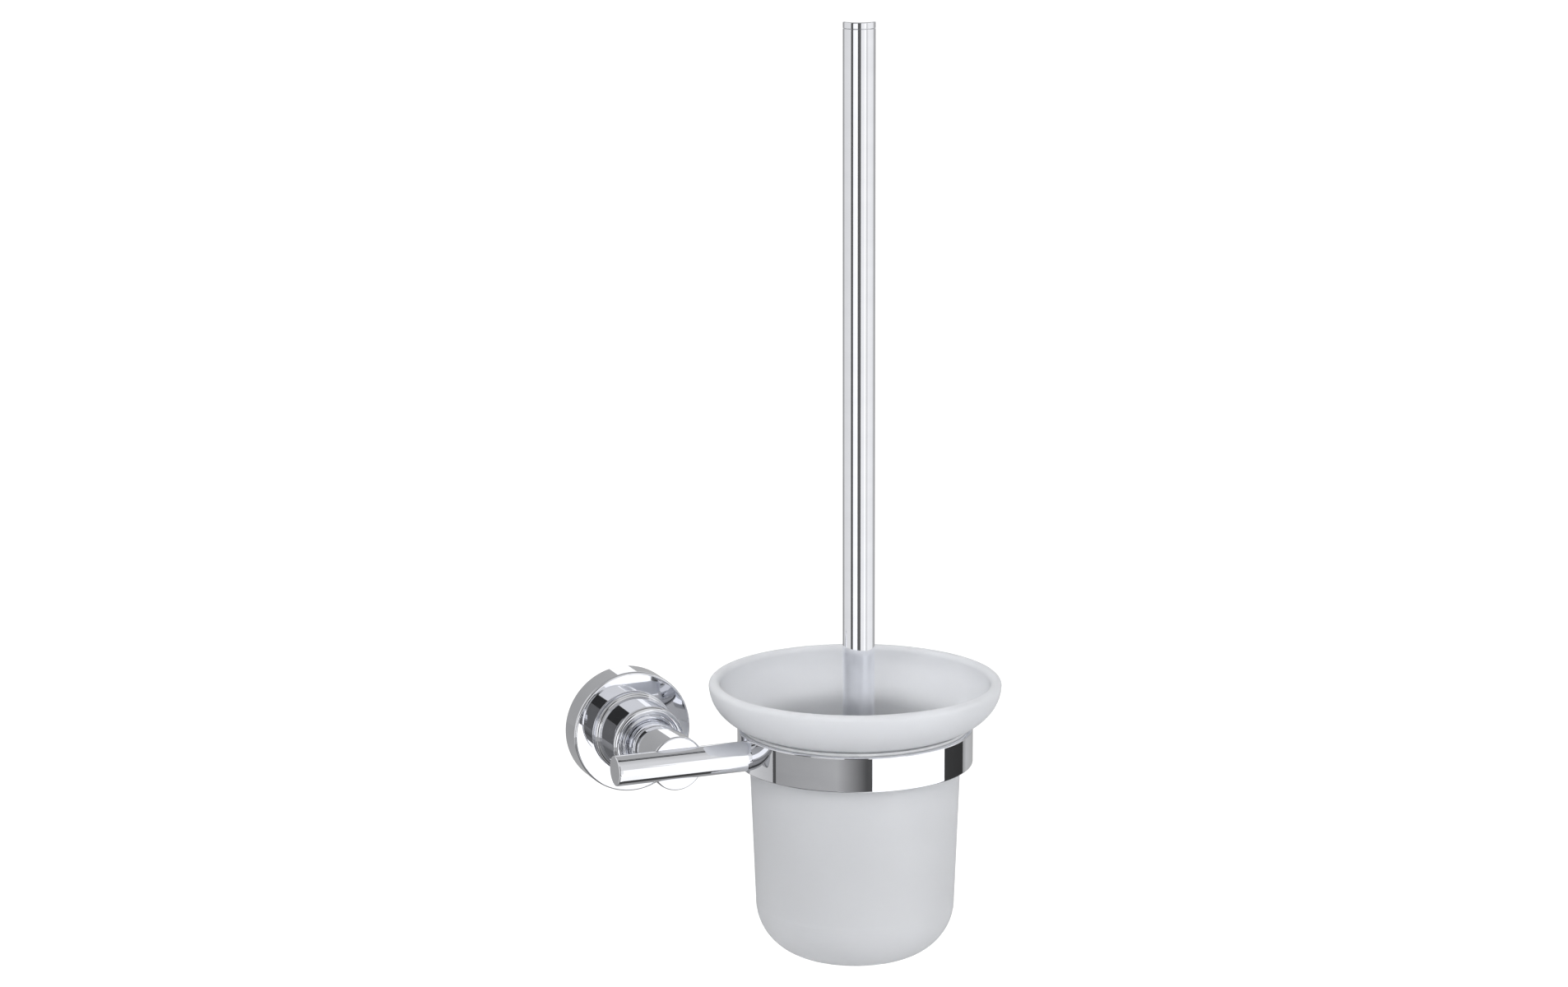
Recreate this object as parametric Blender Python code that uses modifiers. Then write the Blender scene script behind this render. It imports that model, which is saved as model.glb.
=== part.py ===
"""Wall-mounted toilet brush holder: a round wall flange with a short post, a
cross rod, a ring that carries a frosted glass cup, and a brush on a long tube.

Metres, +Z up, +X to the ring's side, +Y into the wall. The origin is the centre
of the wall plate's back face, so everything but the wall fixings is at y < 0.
"""

import math

import bmesh
import bpy

MM = 0.001
GAP = 0.3 * MM  # clearance between neighbouring pieces

# Where the axes are
POST_LENGTH = 64.0 * MM  # wall to the post's front face, and to the rod's axis
CUP_X = 77.3 * MM  # axis of the ring and of the cup
BRUSH_X = 78.9 * MM  # the brush stands a little off the cup's axis

# Wall plate and its fixings
PLATE_R = 20.0 * MM
PLATE_BEVEL = 1.4 * MM
PLATE_THICK = 6.5 * MM
SCREW_SPACING = 23.0 * MM
SCREW_SHANK_R = 2.0 * MM
SCREW_HEAD_R = 3.8 * MM
SCREW_HEAD_HIGH = 2.4 * MM
SCREW_LENGTH = 25.0 * MM
SCREW_SEAT = 3.6 * MM  # plate left under each screw head
PLUG_R = 3.4 * MM
PLUG_LENGTH = 22.0 * MM

# Flange cover, drum and post, all turned about the Y axis
FLANGE_R = 25.3 * MM
FLANGE_FRONT = 12.0 * MM  # wall to the cover's flat front, which the drum stands on
FLANGE_WALL = 2.7 * MM
FLANGE_FRONT_INSIDE = 9.2 * MM
GRUB_R = 2.0 * MM
GRUB_FROM_WALL = 4.4 * MM
DRUM_FOOT_R = 17.2 * MM
DRUM_WALL_R = 15.6 * MM  # where the wall meets the foot bead
DRUM_TOP_R = 15.1 * MM
DRUM_BEAD_R = 15.4 * MM
DRUM_FRONT = 32.5 * MM
DRUM_BORE_R = 12.1 * MM
DRUM_WEB = (26.0 * MM, 30.2 * MM)
POST_R = 11.1 * MM
POST_WAIST_R = 10.6 * MM
POST_FOOT_R = 11.7 * MM

# Tie bolt, which clamps cover, drum, post and rod together from behind
BOLT_R = 2.5 * MM
BOLT_HOLE_R = BOLT_R + GAP
BOLT_HEAD_R = 4.3 * MM
BOLT_HEAD = (4.9 * MM, 7.8 * MM)
BOLT_END = 65.6 * MM
WASHER_R = 5.2 * MM
WASHER = (8.1 * MM, 8.9 * MM)

# Rod
ROD_R = 6.05 * MM
ROD_LEFT = -26.8 * MM
ROD_CHAMFER = 0.4 * MM

# Ring, its screw and its liner
RING_R = 48.0 * MM
RING_WALL = 2.8 * MM
RING_BOTTOM = -7.0 * MM
RING_TOP = 7.3 * MM
RING_EDGE = 0.35 * MM
LINER_R = 44.9 * MM
LINER_INNER_R = 43.9 * MM
LINER_LIP_R = 46.2 * MM
LINER_LIP_HIGH = 0.9 * MM
LINER_BEVEL = 0.8 * MM

# Glass cup, turned about its own axis
CUP_FLOOR = -83.2 * MM
CUP_BOTTOM = -87.7 * MM
CUP_CORNER_R = 22.0 * MM
CUP_WALL = 3.6 * MM
CUP_LOW_R = 40.7 * MM  # outer radius where the corner starts
CUP_NECK_R = 43.55 * MM
CUP_NECK_TOP = 7.8 * MM
CUP_SHOULDER = (45.0 * MM, 8.95 * MM)
LIP_R = 2.3 * MM
LIP_CENTRE = (57.2 * MM, 25.0 * MM)

# Brush
TUBE_R = 6.5 * MM
TUBE_WALL = 0.9 * MM
TUBE_BOTTOM = 2.6 * MM
TUBE_TOP = 290.6 * MM
CAP_HIGH = 2.4 * MM
CAP_ROUND = 0.9 * MM
PLUG_DEPTH = 12.0 * MM
INSERT_TOP = 22.0 * MM
STUD_R = 3.0 * MM
STUD_END = -16.0 * MM
HUB_R = 9.0 * MM
HUB_NECK_R = 8.0 * MM
HUB_BOTTOM = -79.0 * MM
BRISTLE_R = 33.0 * MM
BRISTLE_BOTTOM = CUP_FLOOR + GAP
BRISTLE_TOP = -10.0 * MM
BRISTLE_ROWS = 7
BRISTLE_ROW_THICK = 3.2 * MM

CHROME = ("chrome", (0.83, 0.84, 0.86), 1.0, 0.05)
STEEL = ("zinc_plated_steel", (0.62, 0.63, 0.64), 1.0, 0.32)
ZINC = ("cast_zinc", (0.50, 0.51, 0.52), 1.0, 0.45)
NYLON = ("grey_nylon", (0.55, 0.56, 0.58), 0.0, 0.55)
CLEAR_PLASTIC = ("liner_plastic", (0.86, 0.87, 0.88), 0.0, 0.35)
GLASS = ("frosted_glass", (0.80, 0.81, 0.84), 0.0, 0.60)
HUB_PLASTIC = ("hub_plastic", (0.90, 0.90, 0.89), 0.0, 0.40)
BRISTLE = ("bristle_nylon", (0.93, 0.93, 0.92), 0.0, 0.60)

ALONG_Z = (0.0, 0.0, 0.0)
FROM_WALL = (math.pi / 2, 0.0, 0.0)  # local +Z points out of the wall
ALONG_X = (0.0, math.pi / 2, 0.0)
DOWN = (math.pi, 0.0, 0.0)


def clear_scene():
    for obj in list(bpy.data.objects):
        bpy.data.objects.remove(obj)


def new_collection(name, shown):
    made = bpy.data.collections.new(name)
    bpy.context.scene.collection.children.link(made)
    made.hide_render = not shown
    return made


def finish_of(spec):
    """The Principled material of a finish, made once."""
    name, colour, metallic, roughness = spec
    material = bpy.data.materials.get(name)
    if material is None:
        material = bpy.data.materials.new(name)
        material.use_nodes = True
        shader = material.node_tree.nodes["Principled BSDF"]
        shader.inputs["Base Color"].default_value = (*colour, 1.0)
        shader.inputs["Metallic"].default_value = metallic
        shader.inputs["Roughness"].default_value = roughness
    return material


def arc(centre, radius, start, end, count):
    """Points of a circular arc in a profile plane; the angles are in degrees from +X."""
    points = []
    for i in range(count + 1):
        angle = math.radians(start + (end - start) * i / count)
        points.append((centre[0] + radius * math.cos(angle), centre[1] + radius * math.sin(angle)))
    return points


def bezier(points, count):
    """Points of a cubic Bezier curve in a profile plane, without its first one."""
    made = []
    for i in range(1, count + 1):
        t = i / count
        weights = ((1 - t) ** 3, 3 * t * (1 - t) ** 2, 3 * t * t * (1 - t), t**3)
        r = sum(w * p[0] for w, p in zip(weights, points))
        z = sum(w * p[1] for w, p in zip(weights, points))
        made.append((r, z))
    return made


def turned(name, profile, finish, steps=48, at=(0, 0, 0), turn=ALONG_Z, closed=False):
    """A lathe-turned piece: the profile (radius, height) runs down its outer side."""
    mesh = bpy.data.meshes.new(name)
    edges = [(i, i + 1) for i in range(len(profile) - 1)]
    if closed:
        edges.append((len(profile) - 1, 0))
    mesh.from_pydata([(r, 0.0, z) for r, z in profile], edges, [])
    obj = bpy.data.objects.new(name, mesh)
    parts.objects.link(obj)
    obj.location = at
    obj.rotation_euler = turn
    screw = obj.modifiers.new("Turn", "SCREW")
    screw.axis = "Z"
    screw.steps = steps
    screw.render_steps = steps
    screw.use_merge_vertices = True
    screw.merge_threshold = 0.00001
    screw.use_smooth_shade = True
    mesh.materials.append(finish_of(finish))
    return obj


def cutter_from(name, mesh_data, at, turn):
    obj = bpy.data.objects.new(name, mesh_data)
    cutters.objects.link(obj)
    obj.location = at
    obj.rotation_euler = turn
    obj.hide_render = True
    obj.display_type = "WIRE"
    return obj


def cone_cutter(name, near_r, far_r, start, end, at=(0, 0, 0), turn=ALONG_Z, sides=32):
    """A cone or cylinder between two heights along its own Z."""
    mesh = bpy.data.meshes.new(name)
    shape = bmesh.new()
    bmesh.ops.create_cone(
        shape, cap_ends=True, segments=sides, radius1=near_r, radius2=far_r, depth=end - start
    )
    bmesh.ops.translate(shape, verts=shape.verts, vec=(0, 0, (start + end) / 2))
    shape.to_mesh(mesh)
    shape.free()
    return cutter_from(name, mesh, at, turn)


def box_cutter(name, size, at=(0, 0, 0), turn=ALONG_Z):
    mesh = bpy.data.meshes.new(name)
    shape = bmesh.new()
    bmesh.ops.create_cube(shape, size=1.0)
    bmesh.ops.scale(shape, verts=shape.verts, vec=size)
    shape.to_mesh(mesh)
    shape.free()
    return cutter_from(name, mesh, at, turn)


def cut(obj, *tools):
    for tool in tools:
        boolean = obj.modifiers.new("Cut " + tool.name, "BOOLEAN")
        boolean.operation = "DIFFERENCE"
        boolean.object = tool
    return obj


def screw_heights():
    return (("upper", SCREW_SPACING / 2), ("lower", -SCREW_SPACING / 2))


def make_wall_plate():
    """Disc screwed to the wall. Its edge is undercut, so the grub screw pulls the cover to the wall."""
    recess_r = BOLT_HEAD_R + 2.6 * MM
    recess_floor = BOLT_HEAD[0] - 1.2 * MM
    profile = [
        (0, recess_floor),
        (recess_r, recess_floor),
        (recess_r, PLATE_THICK),
        (PLATE_R - 0.3 * MM, PLATE_THICK),
        (PLATE_R, PLATE_THICK - 0.4 * MM),
        (PLATE_R - PLATE_BEVEL, 0.0),
        (0, 0.0),
    ]
    plate = turned("wall_plate", profile, ZINC, turn=FROM_WALL)
    for place, height in screw_heights():
        at = (0, 0, height)
        hole = cone_cutter(
            "plate_hole_" + place, SCREW_SHANK_R + 0.5 * MM, SCREW_SHANK_R + 0.5 * MM,
            -1.0 * MM, PLATE_THICK + 1.0 * MM, at, FROM_WALL,
        )
        seat = cone_cutter(
            "plate_seat_" + place, SCREW_HEAD_R + 0.7 * MM, SCREW_HEAD_R + 0.7 * MM,
            SCREW_SEAT, PLATE_THICK + 1.0 * MM, at, FROM_WALL,
        )
        cut(plate, hole, seat)


def make_wall_screw(place, height):
    """Pan head wood screw with a cross recess, its shank going back into the wall."""
    seat = SCREW_SEAT + GAP
    profile = [(0, seat + SCREW_HEAD_HIGH)]
    profile += [(2.4 * MM, seat + SCREW_HEAD_HIGH), (3.4 * MM, seat + 1.8 * MM)]
    profile += [(SCREW_HEAD_R, seat + 0.9 * MM), (SCREW_HEAD_R, seat)]
    profile += [(SCREW_SHANK_R, seat), (SCREW_SHANK_R, seat - SCREW_LENGTH + 4.0 * MM)]
    profile += [(0.3 * MM, seat - SCREW_LENGTH), (0, seat - SCREW_LENGTH)]
    screw = turned("wall_screw_" + place, profile, STEEL, 20, (0, 0, height), FROM_WALL)
    front = -(seat + SCREW_HEAD_HIGH)
    for i, size in enumerate(((4.0, 3.0, 0.9), (0.9, 3.0, 4.0))):
        scaled = [side * MM for side in size]
        cut(screw, box_cutter(f"cross_{place}_{i}", scaled, (0, front, height)))


def make_wall_plug(place, height):
    """Ribbed nylon plug round the screw, open at both ends."""
    bore = SCREW_SHANK_R + GAP
    start = -GAP
    ribs = 4
    pitch = (PLUG_LENGTH - 4.0 * MM) / ribs
    profile = [(bore, start), (PLUG_R + 0.5 * MM, start), (PLUG_R + 0.5 * MM, start - 0.9 * MM)]
    for i in range(ribs):
        top = start - 1.6 * MM - i * pitch
        profile += [(PLUG_R - 0.5 * MM, top), (PLUG_R, top - pitch * 0.75)]
    profile += [(PLUG_R - 0.7 * MM, start - PLUG_LENGTH), (bore, start - PLUG_LENGTH)]
    turned("wall_plug_" + place, profile, NYLON, 20, (0, 0, height), FROM_WALL, closed=True)


def make_flange_cover():
    """Cast cover over the wall plate: flat front, open back, bolt hole in the middle."""
    edge_r = 0.4 * MM
    inside_r = FLANGE_R - FLANGE_WALL
    profile = [(BOLT_HOLE_R, FLANGE_FRONT)]
    profile += arc((FLANGE_R - edge_r, FLANGE_FRONT - edge_r), edge_r, 90, 0, 3)
    profile += [(FLANGE_R, 0.4 * MM), (FLANGE_R - 0.4 * MM, 0.0), (inside_r, 0.0)]
    profile += [(inside_r, FLANGE_FRONT_INSIDE), (BOLT_HOLE_R, FLANGE_FRONT_INSIDE)]
    cover = turned("flange_cover", profile, CHROME, 48, turn=FROM_WALL, closed=True)
    grub_hole = cone_cutter(
        "grub_hole", GRUB_R + GAP, GRUB_R + GAP, inside_r - 1.0 * MM, FLANGE_R + 1.0 * MM,
        (0, -GRUB_FROM_WALL, 0), DOWN, sides=24,
    )
    cut(cover, grub_hole)


def make_grub_screw():
    """Set screw under the cover; its cone bears on the wall plate's bevelled edge."""
    tip = PLATE_R + 0.1 * MM
    profile = [(0, FLANGE_R - 0.3 * MM), (GRUB_R - 0.2 * MM, FLANGE_R - 0.3 * MM)]
    profile += [(GRUB_R, FLANGE_R - 0.5 * MM), (GRUB_R, tip + 1.2 * MM)]
    profile += [(0.8 * MM, tip), (0, tip)]
    grub = turned("grub_screw", profile, STEEL, 24, (0, -GRUB_FROM_WALL, 0), DOWN)
    socket = cone_cutter(
        "grub_socket", 1.15 * MM, 1.15 * MM, FLANGE_R - 2.3 * MM, FLANGE_R + 1.0 * MM,
        (0, -GRUB_FROM_WALL, 0), DOWN, sides=6,
    )
    cut(grub, socket)


def make_drum():
    """Stage between cover and post: a foot bead, a tapered wall and a rounded front bead."""
    foot = FLANGE_FRONT + GAP
    foot_bead = 1.1 * MM
    front_bead = (DRUM_BEAD_R - DRUM_BORE_R) / 2
    bead_centre = (DRUM_BORE_R + front_bead, DRUM_FRONT - front_bead)
    cavity_r = DRUM_BORE_R + 0.5 * MM
    profile = arc(bead_centre, front_bead, 180, 0, 6)
    profile += [(DRUM_TOP_R, bead_centre[1] - 1.2 * MM)]
    wall_foot = (DRUM_WALL_R, foot + 2 * foot_bead + 1.0 * MM)
    profile += [wall_foot]
    profile += arc((DRUM_FOOT_R - foot_bead, foot + foot_bead), foot_bead, 80, -80, 4)
    profile += [(cavity_r, foot), (cavity_r, DRUM_WEB[0])]
    profile += [(BOLT_HOLE_R, DRUM_WEB[0]), (BOLT_HOLE_R, DRUM_WEB[1]), (DRUM_BORE_R, DRUM_WEB[1])]
    turned("drum", profile, CHROME, 40, turn=FROM_WALL, closed=True)


def make_post():
    """Barrel with a coved foot, grooved across its front face for the rod."""
    foot = DRUM_WEB[1] + GAP
    cove = 1.5 * MM
    foot_top = foot + 0.7 * MM
    profile = [(BOLT_HOLE_R, POST_LENGTH), (POST_R - 0.5 * MM, POST_LENGTH)]
    profile += [(POST_R, POST_LENGTH - 0.5 * MM)]
    profile += arc((POST_WAIST_R + cove, foot_top + cove), cove, 180, 228, 4)
    profile += [(POST_FOOT_R, foot_top), (POST_FOOT_R, foot), (BOLT_HOLE_R, foot)]
    post = turned("post", profile, CHROME, 40, turn=FROM_WALL, closed=True)
    groove = cone_cutter(
        "rod_groove", ROD_R + GAP, ROD_R + GAP, -20.0 * MM, 20.0 * MM,
        (0, -POST_LENGTH, 0), ALONG_X, sides=40,
    )
    cut(post, groove)


def make_tie_bolt():
    head_bottom, head_top = BOLT_HEAD
    profile = [(0, BOLT_END), (BOLT_R - 0.5 * MM, BOLT_END), (BOLT_R, BOLT_END - 0.6 * MM)]
    profile += [(BOLT_R, head_top), (BOLT_HEAD_R, head_top), (BOLT_HEAD_R, head_bottom + 0.3 * MM)]
    profile += [(BOLT_HEAD_R - 0.3 * MM, head_bottom), (0, head_bottom)]
    bolt = turned("tie_bolt", profile, STEEL, 32, turn=FROM_WALL)
    socket = cone_cutter(
        "bolt_socket", 2.3 * MM, 2.3 * MM, head_bottom - 1.0 * MM, head_bottom + 1.7 * MM,
        turn=FROM_WALL, sides=6,
    )
    cut(bolt, socket)


def make_tie_washer():
    back, front = WASHER
    profile = [(BOLT_HOLE_R, front), (WASHER_R, front), (WASHER_R, back), (BOLT_HOLE_R, back)]
    turned("tie_washer", profile, STEEL, 32, turn=FROM_WALL, closed=True)


def make_arm_rod():
    """Cross rod: plain chamfered end on the left, hollowed to fit the ring on the right."""
    right = CUP_X - math.sqrt((RING_R + GAP) ** 2 - ROD_R**2) + 1.0 * MM
    profile = [(0, right), (ROD_R, right), (ROD_R, ROD_LEFT + ROD_CHAMFER)]
    profile += [(ROD_R - ROD_CHAMFER, ROD_LEFT), (0, ROD_LEFT)]
    rod = turned("arm_rod", profile, CHROME, 40, (0, -POST_LENGTH, 0), ALONG_X)
    cope = cone_cutter(
        "ring_cope", RING_R + GAP, RING_R + GAP, -10.0 * MM, 10.0 * MM,
        (CUP_X, -POST_LENGTH, 0), sides=96,
    )
    bolt_hole = cone_cutter(
        "rod_bolt_hole", BOLT_HOLE_R, BOLT_HOLE_R, POST_LENGTH - ROD_R - 2.0 * MM,
        BOLT_END + 0.8 * MM, turn=FROM_WALL,
    )
    screw_hole = cone_cutter(
        "rod_screw_hole", SCREW_SHANK_R + GAP, SCREW_SHANK_R + GAP,
        CUP_X - RING_R - 10.0 * MM, right + 2.0 * MM, (0, -POST_LENGTH, 0), ALONG_X,
    )
    cut(rod, cope, bolt_hole, screw_hole)


def make_cup_ring():
    """Band that carries the cup, with a countersunk hole on the rod's side."""
    inner = RING_R - RING_WALL
    profile = [(inner, RING_TOP - RING_EDGE), (inner + RING_EDGE, RING_TOP)]
    profile += [(RING_R - RING_EDGE, RING_TOP), (RING_R, RING_TOP - RING_EDGE)]
    profile += [(RING_R, RING_BOTTOM + RING_EDGE), (RING_R - RING_EDGE, RING_BOTTOM)]
    profile += [(inner + RING_EDGE, RING_BOTTOM), (inner, RING_BOTTOM + RING_EDGE)]
    ring = turned("cup_ring", profile, CHROME, 64, (CUP_X, -POST_LENGTH, 0), closed=True)
    outside = CUP_X - RING_R
    inside = outside + RING_WALL
    hole = cone_cutter(
        "ring_hole", SCREW_SHANK_R + GAP, SCREW_SHANK_R + GAP, outside - 1.0 * MM,
        inside + 1.0 * MM, (0, -POST_LENGTH, 0), ALONG_X,
    )
    countersink = cone_cutter(
        "ring_countersink", SCREW_SHANK_R + 0.5 * MM, SCREW_SHANK_R + 2.9 * MM,
        inside - 1.9 * MM, inside + 0.5 * MM, (0, -POST_LENGTH, 0), ALONG_X,
    )
    cut(ring, hole, countersink)


def make_ring_screw():
    """Countersunk screw from inside the ring into the rod's end."""
    face = CUP_X - RING_R + RING_WALL - 0.2 * MM
    tip = CUP_X - RING_R - 8.5 * MM
    profile = [(0, face), (SCREW_HEAD_R, face), (SCREW_HEAD_R, face - 0.2 * MM)]
    profile += [(SCREW_SHANK_R, face - 1.9 * MM), (SCREW_SHANK_R, tip + 0.5 * MM)]
    profile += [(SCREW_SHANK_R - 0.5 * MM, tip), (0, tip)]
    screw = turned("ring_screw", profile, STEEL, 24, (0, -POST_LENGTH, 0), ALONG_X)
    socket = cone_cutter(
        "ring_screw_socket", 1.4 * MM, 1.4 * MM, face - 1.1 * MM, face + 1.0 * MM,
        (0, -POST_LENGTH, 0), ALONG_X, sides=6,
    )
    cut(screw, socket)


def make_ring_liner():
    """Plastic sleeve between ring and glass, with a lip that the cup's shoulder rests on."""
    lip_bottom = RING_TOP + GAP
    lip_top = lip_bottom + LINER_LIP_HIGH
    profile = [(LINER_INNER_R, lip_top - LINER_BEVEL), (LINER_INNER_R + LINER_BEVEL, lip_top)]
    profile += [(LINER_LIP_R - 0.2 * MM, lip_top)]
    profile += [(LINER_LIP_R, lip_top - 0.2 * MM), (LINER_LIP_R, lip_bottom), (LINER_R, lip_bottom)]
    profile += [(LINER_R, RING_BOTTOM + 0.8 * MM), (LINER_INNER_R, RING_BOTTOM + 0.8 * MM)]
    turned("ring_liner", profile, CLEAR_PLASTIC, 48, (CUP_X, -POST_LENGTH, 0), closed=True)


def cup_profile():
    """Inner floor, inner wall, bowl, lip, bowl outside, neck, outer wall and base."""
    inner_corner = CUP_CORNER_R - CUP_WALL
    inner_low = CUP_LOW_R - CUP_WALL
    inner_neck = CUP_NECK_R - CUP_WALL
    inner_bowl = [
        (inner_neck, 6.0 * MM),
        (inner_neck, 13.5 * MM),
        (LIP_CENTRE[0] - LIP_R - 0.7 * MM, 15.2 * MM),
        (LIP_CENTRE[0] - LIP_R, LIP_CENTRE[1]),
    ]
    outer_bowl = [
        (LIP_CENTRE[0] + LIP_R, LIP_CENTRE[1]),
        (LIP_CENTRE[0] + LIP_R - 0.5 * MM, 16.0 * MM),
        (51.5 * MM, 10.5 * MM),
        CUP_SHOULDER,
    ]
    profile = [(0, CUP_FLOOR)]
    profile += arc((inner_low - inner_corner, CUP_FLOOR + inner_corner), inner_corner, -90, 0, 5)
    profile += [inner_bowl[0]] + bezier(inner_bowl, 5)
    profile += arc(LIP_CENTRE, LIP_R, 180, 0, 6)[1:]
    profile += bezier(outer_bowl, 5)
    profile += [(CUP_SHOULDER[0] - 1.0 * MM, CUP_SHOULDER[1] - 0.2 * MM), (CUP_NECK_R, CUP_NECK_TOP)]
    corner = (CUP_LOW_R - CUP_CORNER_R, CUP_BOTTOM + CUP_CORNER_R)
    profile += arc(corner, CUP_CORNER_R, 0, -90, 6)
    profile += [(0, CUP_BOTTOM)]
    return profile


def make_glass_cup():
    turned("glass_cup", cup_profile(), GLASS, 48, (CUP_X, -POST_LENGTH, 0))


def make_handle_tube():
    inner = TUBE_R - TUBE_WALL
    profile = [(inner, TUBE_TOP), (TUBE_R, TUBE_TOP), (TUBE_R, TUBE_BOTTOM), (inner, TUBE_BOTTOM)]
    turned("handle_tube", profile, CHROME, 40, (BRUSH_X, -POST_LENGTH, 0), closed=True)


def make_handle_cap():
    """Push-in end cap: a disc flush with the tube, and a plug inside it."""
    plug_r = TUBE_R - TUBE_WALL - GAP
    bottom = TUBE_TOP + GAP
    top = bottom + CAP_HIGH
    profile = [(0, top)]
    profile += arc((TUBE_R - CAP_ROUND, top - CAP_ROUND), CAP_ROUND, 90, 0, 4)
    profile += [(TUBE_R, bottom), (plug_r, bottom), (plug_r, bottom - PLUG_DEPTH)]
    profile += [(0, bottom - PLUG_DEPTH)]
    turned("handle_cap", profile, CHROME, 40, (BRUSH_X, -POST_LENGTH, 0))


def make_handle_insert():
    """Plug pressed in the tube's lower end; its threaded stud takes the brush head."""
    plug_r = TUBE_R - TUBE_WALL - GAP
    profile = [(0, INSERT_TOP), (plug_r, INSERT_TOP), (plug_r, TUBE_BOTTOM + 0.1 * MM)]
    profile += [(STUD_R, TUBE_BOTTOM + 0.1 * MM), (STUD_R, STUD_END + 0.7 * MM)]
    profile += [(STUD_R - 0.7 * MM, STUD_END), (0, STUD_END)]
    turned("handle_insert", profile, STEEL, 24, (BRUSH_X, -POST_LENGTH, 0))


def make_brush_hub():
    """Moulded core of the brush head, with a blind threaded socket in its neck."""
    bore = STUD_R + GAP
    top = TUBE_BOTTOM - GAP
    profile = [(0, STUD_END - 1.0 * MM), (bore, STUD_END - 1.0 * MM), (bore, top)]
    profile += [(HUB_NECK_R - 0.6 * MM, top), (HUB_NECK_R, top - 0.6 * MM)]
    profile += [(HUB_NECK_R, -5.0 * MM), (HUB_R, -8.0 * MM)]
    profile += arc((0, HUB_BOTTOM + HUB_R), HUB_R, 0, -90, 6)
    turned("brush_hub", profile, HUB_PLASTIC, 28, (BRUSH_X, -POST_LENGTH, 0))


def bristle_reach(height):
    """How far the tufts reach from the hub's axis: rounded at the bottom, trimmed at the top."""
    belly = BRISTLE_BOTTOM + 22.0 * MM
    shoulder = BRISTLE_TOP - 7.0 * MM
    if height < belly:
        share = (belly - height) / (belly - BRISTLE_BOTTOM)
        return BRISTLE_R * math.sqrt(max(0.0, 1 - 0.86 * share * share))
    if height > shoulder:
        return BRISTLE_R - 0.5 * (height - shoulder)
    return BRISTLE_R


def make_bristles():
    """The rows of tufts as thin discs on one sleeve round the hub."""
    sleeve_in = HUB_R + GAP
    sleeve_out = sleeve_in + 1.0 * MM
    lowest = BRISTLE_BOTTOM
    pitch = (BRISTLE_TOP - lowest - BRISTLE_ROW_THICK) / (BRISTLE_ROWS - 1)
    profile = []
    for row in reversed(range(BRISTLE_ROWS)):
        low = lowest + row * pitch
        high = low + BRISTLE_ROW_THICK
        profile += [(sleeve_out, high), (bristle_reach(high), high)]
        profile += [(bristle_reach(low), low), (sleeve_out, low)]
    profile[0] = (sleeve_in, profile[0][1])
    profile[-1] = (sleeve_in, profile[-1][1])
    turned("bristles", profile, BRISTLE, 28, (BRUSH_X, -POST_LENGTH, 0), closed=True)


clear_scene()
parts = new_collection("toilet_brush_holder", True)
cutters = new_collection("cutters", False)

make_wall_plate()
for screw_place, screw_height in screw_heights():
    make_wall_screw(screw_place, screw_height)
    make_wall_plug(screw_place, screw_height)
make_flange_cover()
make_grub_screw()
make_drum()
make_post()
make_tie_bolt()
make_tie_washer()
make_arm_rod()
make_cup_ring()
make_ring_screw()
make_ring_liner()
make_glass_cup()
make_handle_tube()
make_handle_cap()
make_handle_insert()
make_brush_hub()
make_bristles()
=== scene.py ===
"""Looks of the wall-mounted toilet brush holder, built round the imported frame.

Metres, in the frame's own axes: +X to the ring's side, +Y into the wall, +Z up.
Each CAD node is replaced by a finely turned, smooth-shaded piece whose outside is within
0.4 mm of the CAD's.
"""

import math
import random

import bmesh
import bpy
from mathutils import Euler, Matrix, Vector


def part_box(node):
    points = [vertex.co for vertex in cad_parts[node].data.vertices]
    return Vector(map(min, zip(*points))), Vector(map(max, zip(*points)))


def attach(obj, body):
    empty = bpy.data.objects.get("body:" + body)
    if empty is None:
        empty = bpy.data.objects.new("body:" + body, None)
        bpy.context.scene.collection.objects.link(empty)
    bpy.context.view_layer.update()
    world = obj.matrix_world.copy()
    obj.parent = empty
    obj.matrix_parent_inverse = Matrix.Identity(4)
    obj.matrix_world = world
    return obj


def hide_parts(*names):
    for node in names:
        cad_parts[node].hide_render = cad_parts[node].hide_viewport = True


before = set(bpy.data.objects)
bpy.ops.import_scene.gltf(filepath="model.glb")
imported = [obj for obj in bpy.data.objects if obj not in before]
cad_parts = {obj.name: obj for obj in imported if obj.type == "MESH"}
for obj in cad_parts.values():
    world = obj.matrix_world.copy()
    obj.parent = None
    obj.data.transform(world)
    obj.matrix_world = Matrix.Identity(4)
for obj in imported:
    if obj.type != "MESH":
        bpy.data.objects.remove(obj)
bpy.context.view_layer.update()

MM = 0.001
ALONG_Z = Euler((0.0, 0.0, 0.0))
FROM_WALL = Euler((math.pi / 2, 0.0, 0.0))  # heights are distances out of the wall
ALONG_X = Euler((0.0, math.pi / 2, 0.0))
DOWN = Euler((math.pi, 0.0, 0.0))
SUPPORT = 0.06 * MM  # how far from a corner the extra points of a long run lie
LONG_RUN = 1.2 * MM
SHARP_ANGLE = math.radians(28.0)  # edges that turn by more than this stay sharp
SAME_POINT = 1e-7
NOISE_LOW, NOISE_HIGH = 0.3, 0.7  # most of a noise texture's values lie between these


# ---------------------------------------------------------------- camera
VIEW_TURN = math.radians(22.46)  # the camera stands to the left of the object's front
VIEW_DROP = math.radians(11.94)
VIEW_ROLL = math.radians(-0.19)
VIEW_TARGET = Vector((0.0464, -0.0638, 0.1067))
VIEW_DISTANCE = 1.508
LENS_MM = 86.76


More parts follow.
